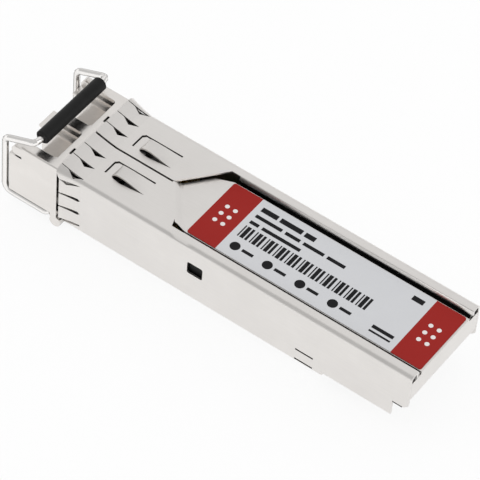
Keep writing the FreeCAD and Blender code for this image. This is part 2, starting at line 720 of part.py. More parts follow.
def make_shell():
    body = new_body("shell_tube")
    top, half = "shell_height", HALF
    inside = (f"sheet - {half}", f"{half} - sheet", "sheet", f"{top} - sheet", "fold_radius - sheet")
    pad(body, "XZ_Plane", "nose_rear + fit", "shell_length",
        rounded(f"0 - {half}", half, "0", top, "fold_radius"), rounded(*inside))

    # Room for the fingers, and wedges that part their lowest edges from the walls below
    pocket(body, "XY_Plane", SIDE_SLOTS_LOW, f"{top} + overcut", rectangle(
        f"0 - {half} - overcut", f"{half} + overcut", "0", "finger_root"))
    pocket(body, "YZ_Plane", f"0 - {half} - overcut", f"{half} + overcut", polygon(
        ("0", SIDE_SLOTS_LOW), ("finger_root", SIDE_SLOTS_LOW), ("0", f"{SIDE_SLOTS_LOW} - wedge_drop")))

    # Seam, label opening and tongue openings in the top
    pocket(body, "XY_Plane", f"{top} - fold_radius", f"{top} + overcut",
           rectangle("0 - slit / 2", "slit / 2", "finger_root - overcut", "seam_end + slit"))
    pocket(body, "XY_Plane", f"{top} - fold_radius", f"{top} + overcut", polygon(
        ("0", "seam_end"), (PANEL_HALF, "panel_shoulder"), (PANEL_HALF, "shell_length + overcut"),
        (f"0 - {PANEL_HALF}", "shell_length + overcut"), (f"0 - {PANEL_HALF}", "panel_shoulder")))
    pocket(body, "XY_Plane", f"{top} - fold_radius", f"{top} + overcut", polygon(
        (PANEL_HALF, "panel_shoulder"), (PANEL_HALF, "panel_shoulder - relief_width"),
        (f"{PANEL_HALF} - relief_run", f"panel_shoulder - relief_run * {FOLD_SLOPE}")))
    pocket(body, "XY_Plane", f"{top} - fold_radius", f"{top} + overcut", *[
        tongue_outline(f"{side} * tongue_centre") for side in (-1, 1)])

    # Lips bent down along the rails beside the label panel
    pad(body, "XZ_Plane", "lip_front", "shell_length", *both_sides(
        rectangle, PANEL_HALF, f"{PANEL_HALF} + sheet", f"{top} - lip_depth", f"{top} - fit"))

    # Snap windows and dashes in the walls, the open floor at the card edge,
    # and room for the latch boss and the stop lugs
    pocket(body, "YZ_Plane", f"0 - {half} - overcut", f"{half} + overcut",
           rounded("window_start", "window_start + window_length",
                   "window_sill", "window_sill + window_height", "window_corner"),
           *[rectangle(f"{FLOOR_END} - dash_setback", f"{FLOOR_END} - dash_setback + dash_length",
                       f"dash_low + {k} * dash_pitch - slit / 2",
                       f"dash_low + {k} * dash_pitch + slit / 2") for k in (0, 1)])
    tail_start = "(shell_length - tail_length)"
    pocket(body, "YZ_Plane", f"0 - {half} - overcut", f"{half} + overcut", polygon(
        (FLOOR_END, "0 - overcut"), (FLOOR_END, "skirt_height"), (tail_start, "skirt_height"),
        (tail_start, "tail_height"), ("shell_length - tail_chamfer", "tail_height"),
        ("shell_length", "tail_height + tail_chamfer"),
        ("shell_length + overcut", "tail_height + tail_chamfer"),
        ("shell_length + overcut", "0 - overcut")))
    boss_half = "(boss_width / 2 + boss_gap)"
    pocket(body, "XY_Plane", "0 - overcut", "sheet + fit", rectangle(
        f"0 - {boss_half}", boss_half, "0", "latch_shoulder + boss_length + boss_gap"))
    pocket(body, "XZ_Plane", "nose_rear", "lug_radius - lug_back + leg_gap", *both_sides(
        rectangle, "nose_width / 2 - lug_width - leg_gap", f"{half} + overcut",
        "0 - overcut", "lug_radius - lug_low + leg_gap"))

    tongues = [solid_feature(f"tongue_{name}", tongue_blade(f"{side} * tongue_centre"))
               for name, side in (("near", 1), ("far", -1))]
    shell = doc.addObject("Part::MultiFuse", "shell")
    shell.Label = "shell"
    shell.Shapes = [body, *tongues, solid_feature("fingers", finger_band()),
                    solid_feature("label_panel", panel_sheet())]
    shell.Refine = True
    place(shell)


def make_label():
    label = new_body("label")
    start, end = "panel_shoulder + label_front_gap", "shell_length - label_rear_gap"
    pad(label, "XY_Plane", "0", "label_thickness", rounded(
        f"0 - {LABEL_HALF}", LABEL_HALF, start, end, "label_corner"))
    place(label, z=PANEL_TOP)


# Bail and latch

def bent_wire(points, bends, radius):
    """Round wire: straight runs and, at each inner point, a bend of that radius in short chords."""
    path = [points[0]]
    for before, corner, after, bend in zip(points, points[1:], points[2:], bends):
        back = (before - corner).normalize()
        ahead = (after - corner).normalize()
        half_angle = back.getAngle(ahead) / 2
        centre = corner + (back + ahead).normalize() * (bend / math.sin(half_angle))
        first = corner + back * (bend / math.tan(half_angle)) - centre
        turn = 180 - math.degrees(2 * half_angle)
        for step in range(BEND_STEPS + 1):
            swing = FreeCAD.Rotation(ahead.cross(back), turn * step / BEND_STEPS)
            path.append(centre + swing.multVec(first))
    path.append(points[-1])
    ring = Part.Wire(Part.makeCircle(radius, path[0], path[1] - path[0]))
    mitred = 1
    return Part.Wire(Part.makePolygon(path)).makePipeShell([ring], True, False, mitred)


def make_bail():
    pivot = ("0 - pivot_front", "pivot_height")
    front = f"0 - {BAIL_FRONT}"
    stations = ((STUB_X, *pivot), (BAIL_X, *pivot), (BAIL_X, front, "pivot_height"),
                (BAIL_X, front, "nose_height"), (BAIL_X, "0 - grip_front", GRIP_Z))
    right = [FreeCAD.Vector(*[value(text) for text in station]) for station in stations]
    left = [FreeCAD.Vector(-p.x, p.y, p.z) for p in reversed(right)]
    bends = [value(name) for name in ("pivot_bend", "low_bend", "high_bend", "grip_bend")]
    bail = solid_feature("bail_wire", bent_wire(right + left, bends + bends[::-1], value("wire_radius")))
    place(bail)

    sleeve = new_body("bail_sleeve")
    pad(sleeve, "YZ_Plane", "0 - grip_length / 2", "grip_length / 2",
        circle("0", "0", "grip_radius"), circle("0", "0", "wire_radius + fit"))
    edge_feature(sleeve, "Chamfer", "grip_bevel", lambda edge: (
        isinstance(edge.Curve, Part.Circle) and abs(edge.Curve.Radius - value("grip_radius")) < 1e-4))
    place(sleeve, y="0 - grip_front", z=GRIP_Z)


def make_latch():
    lever = new_body("latch_lever")
    half = "(lever_width / 2)"
    axis = ("0 - lever_pivot", "lever_axis")
    pad(lever, "YZ_Plane", f"0 - {half}", half, rectangle(
        "0 - lever_front", "lever_rear", "lever_bottom", LEVER_TOP))
    pad(lever, "YZ_Plane", f"0 - {half}", half, circle(*axis, "knuckle_radius"))
    pad(lever, "XY_Plane", "0 - boss_drop", "lever_bottom + fit", polygon(
        ("0 - boss_width / 2", "latch_shoulder"), ("boss_width / 2", "latch_shoulder"),
        ("edge_round", "latch_shoulder + boss_length"), ("0 - edge_round", "latch_shoulder + boss_length")))
    pocket(lever, "YZ_Plane", f"0 - {half}", half, circle(*axis, "pin_radius + wire_play"))
    place(lever)

    pin_body = new_body("latch_pin")
    pad(pin_body, "YZ_Plane", f"0 - {PIN_HALF}", PIN_HALF, circle("0", "0", "pin_radius"))
    place(pin_body, y="0 - lever_pivot", z="lever_axis")

    spring = new_body("latch_spring")
    tip_z = f"({LEVER_TOP} + fit)"
    pad(spring, "YZ_Plane", "0 - spring_width / 2", "spring_width / 2", polygon(
        ("spring_front", "channel_high - spring_sheet"), ("spring_front", "channel_high"),
        ("spring_bend", "channel_high"), ("spring_tip", f"{tip_z} + spring_sheet"),
        ("spring_tip", tip_z), ("spring_bend", "channel_high - spring_sheet")))
    place(spring)


# Optical sub-assemblies, one behind each port

def make_optics(name, side):
    x = f"{side} * {PORT_X}"
    flange_rear = f"({SHIELD_REAR} + flange_thickness)"

    receptacle = new_body(f"{name}_receptacle")
    revolve(receptacle, polygon(
        ("ferrule_radius", "0 - barrel_front"), ("barrel_radius", "0 - barrel_front"),
        ("barrel_radius", SHIELD_REAR), ("flange_radius", SHIELD_REAR), ("flange_radius", flange_rear),
        ("neck_radius", flange_rear), ("neck_radius", "saddle_front"), ("stub_radius", "saddle_front"),
        ("stub_radius", "stub_front"), ("ferrule_radius", "stub_front")))
    place(receptacle, x=x, z=AXIS)

    stub = new_body(f"{name}_fibre_stub")
    revolve(stub, polygon(("0", "stub_front"), ("stub_radius - fit / 2", "stub_front"),
                          ("stub_radius - fit / 2", flange_rear), ("0", flange_rear)))
    place(stub, x=x, z=AXIS)

    can = new_body(f"{name}_can")
    revolve(can, polygon(
        ("0", "saddle_front"), ("can_radius", "saddle_front"), ("can_radius", "saddle_rear"),
        ("header_radius", "saddle_rear"), ("header_radius", HEADER_REAR), ("0", HEADER_REAR)))
    place(can, x=x, z=AXIS)

    leads = new_body(f"{name}_leads")
    pad(leads, "XZ_Plane", HEADER_REAR, f"{HEADER_REAR} + lead_length", *[
        circle(f"{k - (LEADS - 1) / 2} * lead_pitch", "0", "lead_radius") for k in range(LEADS)])
    place(leads, x=x, z=LEAD_Z)


def make_optics_holders():
    shield = new_body("shield_plate")
    inset = f"({INNER} - shield_margin)"
    pad(shield, "XZ_Plane", "collar_rear", SHIELD_REAR,
        rectangle(f"0 - {inset}", inset, "board_bottom", f"{INNER_TOP} - shield_margin"),
        *[circle(f"{side} * {PORT_X}", AXIS, "barrel_radius + fit") for side in (-1, 1)])
    place(shield)

    clamp = new_body("optics_clamp")
    edge = f"({INNER} - clamp_inset)"
    pad(clamp, "XZ_Plane", "saddle_front + clamp_inset", "saddle_rear - clamp_inset", polygon(
        (f"0 - {edge}", AXIS), (edge, AXIS),
        (edge, f"{CLAMP_TOP} - fold_radius"), (f"{edge} - fold_radius", CLAMP_TOP),
        (f"fold_radius - {edge}", CLAMP_TOP), (f"0 - {edge}", f"{CLAMP_TOP} - fold_radius")))
    pocket(clamp, "XZ_Plane", "saddle_front", "saddle_rear", *[
        circle(f"{side} * {PORT_X}", AXIS, "can_radius + fit") for side in (-1, 1)])
    place(clamp)


# Circuit board and what it carries

def make_board():
    board = new_body("circuit_board")
    wide, narrow = BOARD_HALF, "(edge_width / 2)"
    pad(board, "XY_Plane", "0", "board_thickness", polygon(
        (f"0 - {wide}", "board_front"), (wide, "board_front"),
        (wide, BOARD_WIDE_END), (narrow, BOARD_WIDE_END),
        (narrow, BOARD_REAR), (f"0 - {narrow}", BOARD_REAR), (f"0 - {narrow}", BOARD_WIDE_END),
        (f"0 - {wide}", BOARD_WIDE_END)))
    edge_feature(board, "Chamfer", "edge_bevel", lambda edge: any(
        runs_along(edge, 0, (1, BOARD_REAR), (2, z)) for z in ("0", "board_thickness")))
    place(board, z="board_bottom")


def make_blocks(label, sizes, places, z):
    """A row of small blocks, each size and place an expression, as one node."""
    blocks = []
    for index, (x, y) in enumerate(places):
        block = doc.addObject("Part::Box", f"{label}_{index}")
        for name, text in zip(("Length", "Width", "Height"), sizes):
            block.setExpression(name, cells(text))
        block.setExpression("Placement.Base.x", cells(f"({x}) - ({sizes[0]}) / 2"))
        block.setExpression("Placement.Base.y", cells(f"({y}) - ({sizes[1]}) / 2"))
        blocks.append(block)
    group = doc.addObject("Part::Compound", label)
    group.Label = label
    group.Links = blocks
    place(group, z=z)


def make_components():
    contact_y = f"{BOARD_REAR} - edge_bevel - contact_setback - contact_length / 2"
    contacts = [(f"{k - (CONTACTS - 1) / 2} * contact_pitch", contact_y) for k in range(CONTACTS)]
    contact_sizes = ("contact_width", "contact_length", "contact_thickness")
    make_blocks("edge_contacts_top", contact_sizes, contacts, BOARD_TOP)
    make_blocks("edge_contacts_bottom", contact_sizes, contacts, "board_bottom - contact_thickness")

    for label, size, x, y in (("driver_chip", "driver_size", "0 - chip_x", "driver_y"),
                              ("amplifier_chip", "amplifier_size", "chip_x", "amplifier_y"),
                              ("controller_chip", "controller_size", "0", "controller_y")):
        make_blocks(label, (size, size, "chip_height"), [(x, y)], BOARD_TOP)
    pad_height = f"{PANEL_TOP} - sheet - fit - {BOARD_TOP} - chip_height"
    make_blocks("thermal_pad", ("driver_size", "driver_size", pad_height), [("0 - chip_x", "driver_y")],
                f"{BOARD_TOP} + chip_height")

    passive = ("passive_length", "passive_width", "passive_height")
    row_y = "controller_y + controller_size / 2 + passive_pitch"
    near_y = "amplifier_y + amplifier_size / 2 + passive_pitch"
    make_blocks("capacitors", passive, [
        (f"({k} - {(PASSIVES - 1) / 2}) * passive_pitch", row_y) for k in range(PASSIVES)], BOARD_TOP)
    make_blocks("resistors", passive, [
        (f"chip_x + ({k} - 1) * passive_pitch", near_y) for k in range(LEADS)], BOARD_TOP)
    make_blocks("ferrite_beads", ("bead_length", "bead_width", "bead_width"), [
        (f"({k} - {(BEADS - 1) / 2}) * bead_pitch", f"{row_y} + passive_pitch")
        for k in range(BEADS)], BOARD_TOP)


make_nose()
make_shell()
make_label()
make_bail()
make_latch()
for optics_name, optics_side in (("transmitter", 1), ("receiver", -1)):
    make_optics(optics_name, optics_side)
make_optics_holders()
make_board()
make_components()
doc.recompute()

for item in doc.Objects:
    if "Invalid" in item.State or "Error" in item.State:
        raise RuntimeError(f"{item.Label} failed")
for node in nodes:
    if node.Shape.isNull() or not node.Shape.isValid():
        raise RuntimeError(f"{node.Label} has no valid shape")

os.makedirs("parts", exist_ok=True)
for node in nodes:
    node.Shape.exportStep(f"parts/{node.Label}.step")
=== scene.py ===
from math import cos, radians, sin

import bmesh
import bpy
from mathutils import Matrix, Vector


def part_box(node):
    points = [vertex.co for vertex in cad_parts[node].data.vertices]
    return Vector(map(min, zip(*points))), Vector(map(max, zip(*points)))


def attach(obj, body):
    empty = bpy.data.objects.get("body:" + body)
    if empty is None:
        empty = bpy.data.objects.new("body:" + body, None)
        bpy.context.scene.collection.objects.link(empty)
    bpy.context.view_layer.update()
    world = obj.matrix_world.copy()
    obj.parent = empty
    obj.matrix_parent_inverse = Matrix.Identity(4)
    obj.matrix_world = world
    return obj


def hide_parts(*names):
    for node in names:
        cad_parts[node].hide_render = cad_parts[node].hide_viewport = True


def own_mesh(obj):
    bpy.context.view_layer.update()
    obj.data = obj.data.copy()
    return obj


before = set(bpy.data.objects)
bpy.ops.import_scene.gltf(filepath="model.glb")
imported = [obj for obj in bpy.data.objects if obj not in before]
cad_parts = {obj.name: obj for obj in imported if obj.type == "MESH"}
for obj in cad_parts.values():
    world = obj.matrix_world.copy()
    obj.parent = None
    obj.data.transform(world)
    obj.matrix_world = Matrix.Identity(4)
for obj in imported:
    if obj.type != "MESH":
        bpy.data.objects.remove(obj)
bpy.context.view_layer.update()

MM = 0.001

# The camera: its bearing, height and roll about a point near the middle of the module.
CAMERA_AZIMUTH = radians(122.327)
CAMERA_ELEVATION = radians(49.339)
CAMERA_ROLL = radians(4.848)
CAMERA_DISTANCE = 397.144 * MM
CAMERA_TARGET = Vector((-0.947, -0.053, 5.15)) * MM
CAMERA_LENS = 265.26
CAMERA_SENSOR = 36.0
CAMERA_NEAR = 0.01

# The label: the length of its red ends, the ink's thickness, and where the dark print starts and ends.
LABEL_LOW, LABEL_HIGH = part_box("label")
END_FIELD = 3.95 * MM
INK = 0.006 * MM
PRINT_START = LABEL_LOW[1] + END_FIELD + 0.75 * MM
PRINT_END = LABEL_HIGH[1] - END_FIELD

# Rows of dashes: where a row lies across the label, where it starts along it, the dashes' lengths, their
# height and the gap between them.
FRONT_ROWS = [
    (-3.30 * MM, PRINT_START, [2.2 * MM, 3.0 * MM, 1.4 * MM], 0.70 * MM, 0.35 * MM),
    (-2.10 * MM, PRINT_START, [3.6 * MM, 2.0 * MM, 2.8 * MM, 2.4 * MM], 0.48 * MM, 0.45 * MM),
    (-1.00 * MM, PRINT_START, [1.2 * MM, 5.2 * MM], 0.48 * MM, 0.45 * MM),
]
REAR_ROWS = [
    (-3.30 * MM, PRINT_END - 2.4 * MM, [1.5 * MM], 0.70 * MM, 0.0),
    (2.80 * MM, PRINT_END - 3.6 * MM, [2.8 * MM], 0.48 * MM, 0.0),
    (3.50 * MM, PRINT_END - 3.6 * MM, [2.8 * MM], 0.26 * MM, 0.0),
]
# The block of stripes: its edges across the label, its end along it and its narrowest stripe.
STRIPES_LOW = -0.30 * MM
STRIPES_HIGH = 1.55 * MM
STRIPES_END = PRINT_START + 17.0 * MM
STRIPE_UNIT = 0.16 * MM
# The row of discs, each followed by a dash.
DISC_ROW = 2.95 * MM
DISC_PLACES = [PRINT_START + (0.8 + 4.4 * step) * MM for step in range(4)]
DISC_RADIUS = 0.62 * MM
DISC_DASH_START = 0.95 * MM
DISC_DASH_LENGTH = 1.5 * MM
DISC_DASH_HEIGHT = 0.42 * MM
# The white dots on each red end, about its middle.
END_DOTS_ACROSS = (-1.2 * MM, 0, 1.2 * MM)
END_DOTS_ALONG = (-0.55 * MM, 0.55 * MM)
END_DOT_RADIUS = 0.28 * MM
DOT_SEGMENTS = 32

# The sleeve's rails beside the label: their inner edge, top and ends.
RAIL_EDGE = LABEL_HIGH[0] + 0.80 * MM
RAIL_TOP = LABEL_HIGH[2] + 0.58 * MM
RAIL_FRONT = LABEL_LOW[1] + 0.20 * MM
RAIL_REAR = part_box("shell")[1][1]
# A rail's rolled lip: how far in and how far down its bend has come, from the rail's edge to the lip's foot.
LIP_BEND = [
    (0.0, 0.0),
    (0.09 * MM, 0.07 * MM),
    (0.16 * MM, 0.18 * MM),
    (0.21 * MM, 0.33 * MM),
    (0.25 * MM, 0.55 * MM),
]

# The fold where the label panel leaves the sleeve's top: a line across half the sleeve, and the ramp behind.
FOLD_START = Vector((0, LABEL_LOW[1] - 5.35 * MM))
FOLD_END = Vector((RAIL_EDGE, LABEL_LOW[1] - 1.00 * MM))
FOLD_SQUARE = (FOLD_END - FOLD_START).orthogonal().normalized()
RAMP_RUN = 1.2 * MM
# How far the ramp is shaded as if level, where that fades out past the sleeve's middle, and how far up a face
# has to look to be shaded so.
RAMP_EASE = 0.70
RAMP_FADE = 0.3 * MM
RAMP_FACES = (0.5, 0.75)

# The insulating film, black so that it stands in as painted shade in the window and the gaps beside the
# label: it stands between the board's edges and the sleeve's walls. Behind the thermal pad, its upper edge is
# folded in below the gaps beside the label.
FILM_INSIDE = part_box("circuit_board")[1][0] + 0.15 * MM
FILM_THICKNESS = 0.10 * MM
FILM_OUTSIDE = FILM_INSIDE + FILM_THICKNESS
FILM_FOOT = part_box("circuit_board")[0][2] + 0.05 * MM
FILM_TOP = LABEL_LOW[2] - 0.80 * MM
FILM_FRONT = LABEL_LOW[1] - 0.30 * MM
FILM_REAR = RAIL_REAR - 1.0 * MM
FILM_FOLD_TOP = FILM_TOP + FILM_THICKNESS
FILM_FOLD_EDGE = LABEL_HIGH[0] - 0.80 * MM
FILM_FOLD_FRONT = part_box("thermal_pad")[1][1] + 0.30 * MM
FILM_FOLD_REAR = RAIL_REAR - 0.40 * MM

# Corners of a new piece that lie closer than this are one corner.
SAME_PLACE = 0.0005 * MM


# Node helpers

def add(tree, kind, inputs=None, **settings):
    """A shader node. An input is a plain value, or the output socket that feeds it."""
    node = tree.nodes.new("ShaderNode" + kind)
    for name, setting in settings.items():
        setattr(node, name, setting)
    for name, given in (inputs or {}).items():
        if isinstance(given, bpy.types.NodeSocket):
            tree.links.new(given, node.inputs[name])
        else:
            node.inputs[name].default_value = given
    return node


def combine(tree, operation, first, second=0.0, third=0.0):
    """A Math node's result."""
    return add(tree, "Math", {0: first, 1: second, 2: third}, operation=operation).outputs[0]


def weighed(tree, first, share, second):
    """Two values added up, the first with that share and the second with the rest."""
    rest = combine(tree, "MULTIPLY", second, 1.0 - share)
    return combine(tree, "MULTIPLY_ADD", first, share, rest)


def spread(tree, given, low, high, to_low=0.0, to_high=1.0):
    """A value carried from one range to another, held at the ends."""
    ranges = {"Value": given, "From Min": low, "From Max": high, "To Min": to_low, "To Max": to_high}
    return add(tree, "MapRange", ranges).outputs[0]


def tint(tree, factor, first, second):
    """A colour between two others."""
    return add(tree, "Mix", {0: factor, 6: first, 7: second}, data_type="RGBA").outputs[2]


def axes(tree, vector):
    """The x, y and z of a vector."""
    return add(tree, "SeparateXYZ", {0: vector}).outputs


def coordinates(tree, stretch=(1, 1, 1)):
    """The piece's own coordinates, stretched along each axis."""
    place = add(tree, "TexCoord").outputs["Object"]
    return add(tree, "Mapping", {"Vector": place, "Scale": stretch}).outputs[0]


def noise(tree, where, scale, detail=3.0, rough=0.55):
    """A cloudy value about 0.5."""
    inputs = {"Vector": where, "Scale": scale, "Detail": detail, "Roughness": rough}
    return add(tree, "TexNoise", inputs).outputs[0]


def new_group(name, inputs, outputs):
    """An empty shader group with float sockets, its input values and its output node."""
    group = bpy.data.node_groups.new(name, "ShaderNodeTree")
    for label, default in inputs.items():
        socket = group.interface.new_socket(label, in_out="INPUT", socket_type="NodeSocketFloat")
        socket.default_value = default
    for label in outputs:
        group.interface.new_socket(label, in_out="OUTPUT", socket_type="NodeSocketFloat")
    given = group.nodes.new("NodeGroupInput")
    result = group.nodes.new("NodeGroupOutput")
    return group, given.outputs, result


def finish_group(group, result, **outputs):
    """Links a group's results to its output node."""
    for label, socket in outputs.items():
        group.links.new(socket, result.inputs[label])
    return group


# Effects that several finishes share. Scales are per metre.

def make_rolled_grain():
    """Fine lines along the module, as a rolled or drawn strip has, over broad pale clouds."""
    group, given, result = new_group("rolled grain", {"Fineness": 1.0}, ("Tone", "Height"))
    lines = coordinates(group, stretch=(9000, 260, 9000))
    grain = noise(group, lines, scale=given["Fineness"], detail=4.0)
    clouds = noise(group, coordinates(group), scale=260.0, detail=2.0)
    tone = weighed(group, grain, 0.45, clouds)
    return finish_group(group, result, Tone=tone, Height=grain)


def make_cast_skin():
    """The faintly pebbled skin of a plated die casting."""
    group, given, result = new_group("cast skin", {"Grain": 6500.0}, ("Tone", "Height"))
    pebbles = noise(group, coordinates(group), scale=given["Grain"], detail=2.0)
    flow = noise(group, coordinates(group, stretch=(1, 0.4, 1)), scale=420.0)
    tone = weighed(group, pebbles, 0.35, flow)
    return finish_group(group, result, Tone=tone, Height=pebbles)


def make_edge_wear():
    """A mask that is 1 along outer corners, broken up so that the rubbing is uneven."""
    group, given, result = new_group("edge wear", {"Width": 0.08 * MM}, ("Mask",))
    rounded = add(group, "Bevel", {"Radius": given["Width"]}, samples=6).outputs[0]
    flat = add(group, "NewGeometry").outputs["Normal"]
    facing = add(group, "VectorMath", {0: rounded, 1: flat}, operation="DOT_PRODUCT").outputs["Value"]
    corner = spread(group, facing, low=0.995, high=0.86)
    clouds = noise(group, coordinates(group), scale=900.0)
    patches = spread(group, clouds, low=0.35, high=0.62, to_low=0.25)
    return finish_group(group, result, Mask=combine(group, "MULTIPLY", corner, patches))


def make_handling():
    """Soft smears left by fingers, as a mask."""
    group, given, result = new_group("handling", {"Size": 190.0}, ("Mask",))
    where = coordinates(group, stretch=(1, 0.55, 1))
    smear = noise(group, where, scale=given["Size"], detail=4.0, rough=0.6)
    return finish_group(group, result, Mask=spread(group, smear, low=0.42, high=0.68))


def make_crevice_shade():
    """A mask that is 1 deep in slits and behind walls, where light doesn't reach: it sets where shade is
    painted into the colour.
    """
    inputs = {"Reach": 1.2 * MM, "Start": 0.50, "Full": 0.20}
    group, given, result = new_group("crevice", inputs, ("Mask",))
    opening = add(group, "AmbientOcclusion", {"Distance": given["Reach"]}, samples=8).outputs["AO"]
    return finish_group(group, result, Mask=spread(group, opening, given["Start"], given["Full"]))


def make_moulded_grain():
    """The close matt grain of a moulded or shrunk plastic."""
    group, given, result = new_group("moulded grain", {"Grain": 9000.0}, ("Tone", "Height"))
    fine = noise(group, coordinates(group), scale=given["Grain"], detail=2.0)
    broad = noise(group, coordinates(group), scale=700.0, detail=2.0)
    tone = weighed(group, fine, 0.5, broad)
    return finish_group(group, result, Tone=tone, Height=fine)


ROLLED = make_rolled_grain()
CAST = make_cast_skin()
WEAR = make_edge_wear()
HANDLING = make_handling()
CREVICE_SHADE = make_crevice_shade()
MOULDED = make_moulded_grain()


# Finishes

# The colour of painted shade deep in a crevice, and how strongly a skin's relief shows.
SHADED = (0.012, 0.011, 0.010, 1)
RELIEF = 0.35
# The part of a skin's tone that is used for colour on metal, and for roughness.
COLOUR_SPAN = (0.3, 0.7)
ROUGH_SPAN = (0.25, 0.75)
# Metal: how much brighter and smoother it is where it is rubbed, and how much rougher where it is smeared.
RUBBED_BRIGHTER = 1.08
RUBBED_ROUGHER = -0.06
SMEARED_ROUGHER = 0.05


def new_finish(name, **constants):
    """A material with one Principled shader whose unvarying sockets are set here."""
    material = bpy.data.materials.new(name)
    material.use_nodes = True
    tree = material.node_tree
    shader = tree.nodes["Principled BSDF"]
    for label, constant in constants.items():
        shader.inputs[label.replace("_", " ")].default_value = constant
    return material, tree, shader


def effect(tree, group, **inputs):
    """One of the shared effects, with this finish's own values."""
    node = tree.nodes.new("ShaderNodeGroup")
    node.node_tree = group
    for label, given in inputs.items():
        node.inputs[label].default_value = given
    return node.outputs


def surface(tree, shader, colour, roughness, height, depth, edge=0.0, reshape=None):
    """Feeds the shader: colour, roughness, a relief of that depth, and edges rounded by that radius."""
    tree.links.new(colour, shader.inputs["Base Color"])
    tree.links.new(roughness, shader.inputs["Roughness"])
    relief = {"Height": height, "Distance": depth, "Strength": RELIEF}
    if edge:
        rounded = add(tree, "Bevel", {"Radius": edge}, samples=6).outputs[0]
        relief["Normal"] = reshape(tree, rounded) if reshape else rounded
    tree.links.new(add(tree, "Bump", relief).outputs[0], shader.inputs["Normal"])


def pressed_fold(tree, rounded):
    """The sheet's normal, eased towards level where the label panel is pressed down out of it."""
    x, y, _ = axes(tree, coordinates(tree))
    offset = -FOLD_START.dot(FOLD_SQUARE) - RAMP_RUN / 2
    from_line = combine(tree, "MULTIPLY_ADD", x, FOLD_SQUARE.x, offset)
    from_middle = combine(tree, "MULTIPLY_ADD", y, FOLD_SQUARE.y, from_line)
    distance = combine(tree, "ABSOLUTE", from_middle)
    near = spread(tree, distance, RAMP_RUN / 2, RAMP_RUN, to_low=RAMP_EASE, to_high=0.0)
    on_panel = spread(tree, x, -RAMP_FADE, 0.0)
    facing_up = spread(tree, axes(tree, rounded)[2], *RAMP_FACES)
    share = combine(tree, "MULTIPLY", combine(tree, "MULTIPLY", near, on_panel), facing_up)
    level = add(tree, "VectorTransform", {0: (0, 0, 1)}, vector_type="NORMAL", convert_from="OBJECT",
                convert_to="WORLD").outputs[0]
    eased = add(tree, "Mix", {0: share, 4: rounded, 5: level}, data_type="VECTOR").outputs[1]
    return add(tree, "VectorMath", {0: eased}, operation="NORMALIZE").outputs[0]


def metal(name, grain, dull, bright, rough, depth, edge=0.05 * MM, reach=1.2 * MM, grazing=(1, 1, 1),
          reshape=None, **grain_inputs):
    """Bare or plated metal: two tones, a range of roughness, rubbed corners, a tint at grazing angles, and
    painted shade in crevices.
    """
    material, tree, shader = new_finish(name, Metallic=1.0, Specular_Tint=(*grazing, 1))
    skin = effect(tree, grain, **grain_inputs)
    worn = effect(tree, WEAR, Width=edge)["Mask"]
    smear = effect(tree, HANDLING)["Mask"]
    # Painted shade: the colour darkens to SHADED in slits, recesses and behind walls.
    painted_shade = effect(tree, CREVICE_SHADE, Reach=reach)["Mask"]
    body = tint(tree, spread(tree, skin["Tone"], *COLOUR_SPAN), (*dull, 1), (*bright, 1))
    rubbed = [min(1.0, channel * RUBBED_BRIGHTER) for channel in bright]
    colour = tint(tree, painted_shade, tint(tree, worn, body, (*rubbed, 1)), SHADED)
    grainy = spread(tree, skin["Tone"], *ROUGH_SPAN, *rough)
    smeared = combine(tree, "MULTIPLY_ADD", smear, SMEARED_ROUGHER, grainy)
    roughness = combine(tree, "MULTIPLY_ADD", worn, RUBBED_ROUGHER, smeared)
    surface(tree, shader, colour, roughness, skin["Height"], depth, edge, reshape)
    return material


def dull_solid(name, dark, pale, rough, depth, grain=9000.0, **constants):
    """A moulded, fired or printed solid with a close grain, and painted shade in its crevices."""
    material, tree, shader = new_finish(name, **constants)
    skin = effect(tree, MOULDED, Grain=grain)
    clean = tint(tree, skin["Tone"], (*dark, 1), (*pale, 1))
    # Painted shade: the colour darkens to SHADED in crevices.
    colour = tint(tree, effect(tree, CREVICE_SHADE)["Mask"], clean, SHADED)
    roughness = spread(tree, skin["Tone"], *ROUGH_SPAN, *rough)
    surface(tree, shader, colour, roughness, skin["Height"], depth)
    return material


def print_ink(name, dark, pale):
    """Ink on the label's film."""
    return dull_solid(name, dark, pale, rough=(0.50, 0.62), depth=0.002 * MM, grain=12000.0,
                      Specular_IOR_Level=0.12)


def label_film():
    """Satin film, pale grey between two red ends that meet it in a clean line."""
    material, tree, shader = new_finish("label film", Specular_IOR_Level=0.20)
    along = axes(tree, coordinates(tree))[1]
    front = combine(tree, "LESS_THAN", along, LABEL_LOW[1] + END_FIELD)
    rear = combine(tree, "GREATER_THAN", along, LABEL_HIGH[1] - END_FIELD)
    ends = combine(tree, "MAXIMUM", front, rear)
    skin = effect(tree, MOULDED, Grain=5000.0)
    pale = tint(tree, skin["Tone"], (0.600, 0.606, 0.625, 1), (0.640, 0.646, 0.664, 1))
    red = tint(tree, skin["Tone"], (0.305, 0.008, 0.005, 1), (0.330, 0.011, 0.007, 1))
    smear = effect(tree, HANDLING)["Mask"]
    roughness = spread(tree, smear, 0.0, 1.0, to_low=0.42, to_high=0.50)
    surface(tree, shader, tint(tree, ends, pale, red), roughness, skin["Height"], depth=0.004 * MM)
    return material


def grip_rubber():
    """Shrunk black tubing: matt, with faint rings where it drew in on the wire."""
    material, tree, shader = new_finish("grip sleeve", Specular_IOR_Level=0.22)
    skin = effect(tree, MOULDED, Grain=4200.0)
    rings = noise(tree, coordinates(tree, stretch=(2600, 300, 300)), scale=1.0, detail=2.0)
    smear = effect(tree, HANDLING, Size=420.0)["Mask"]
    black = tint(tree, skin["Tone"], (0.005, 0.005, 0.005, 1), (0.010, 0.010, 0.010, 1))
    greasy = spread(tree, smear, 0.0, 1.0, to_high=0.3)
    colour = tint(tree, greasy, black, (0.018, 0.018, 0.018, 1))
    roughness = spread(tree, skin["Tone"], *ROUGH_SPAN, to_low=0.46, to_high=0.60)
    height = weighed(tree, rings, 0.7, skin["Height"])
    surface(tree, shader, colour, roughness, height, depth=0.02 * MM)
    return material


